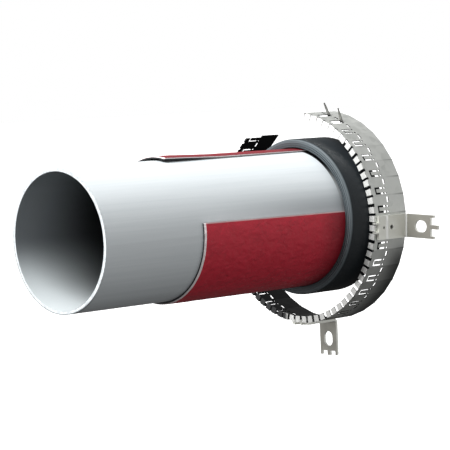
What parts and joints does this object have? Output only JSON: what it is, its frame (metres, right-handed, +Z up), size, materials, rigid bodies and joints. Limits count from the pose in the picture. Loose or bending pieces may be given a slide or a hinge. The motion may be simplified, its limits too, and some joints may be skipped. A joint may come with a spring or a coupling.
{
  "type": "pipe fire collar",
  "caption": "Fire collar on a plastic pipe: red sound sleeve, wound intumescent ring, and an open perforated steel strap with slotted brackets that screw to a wall.",
  "frame": {"origin": "on the pipe axis, at the cut back end of the pipe, 18 mm in front of the wall face", "axes": "+Y along the pipe into the wall with the pipe's open end toward -Y, +Z up, +X toward the right bracket"},
  "size_m": [0.2452, 0.308, 0.2164],
  "materials": {
    "pipe_plastic": "extruded, satin",
    "red_film": "wrinkled film with a soft sheen",
    "intumescent": "dull, graphite grey",
    "strap_steel": "galvanised, dull",
    "bracket_steel": "galvanised, dull"
  },
  "bodies": {
    "root": {"pipe": "pipe_plastic", "sound_sleeve": "red_film", "fire_ring": "intumescent", "steel_strap": "strap_steel", "bracket_right": "bracket_steel", "bracket_bottom": "bracket_steel", "bracket_left": "bracket_steel"}
  },
  "joints": []
}
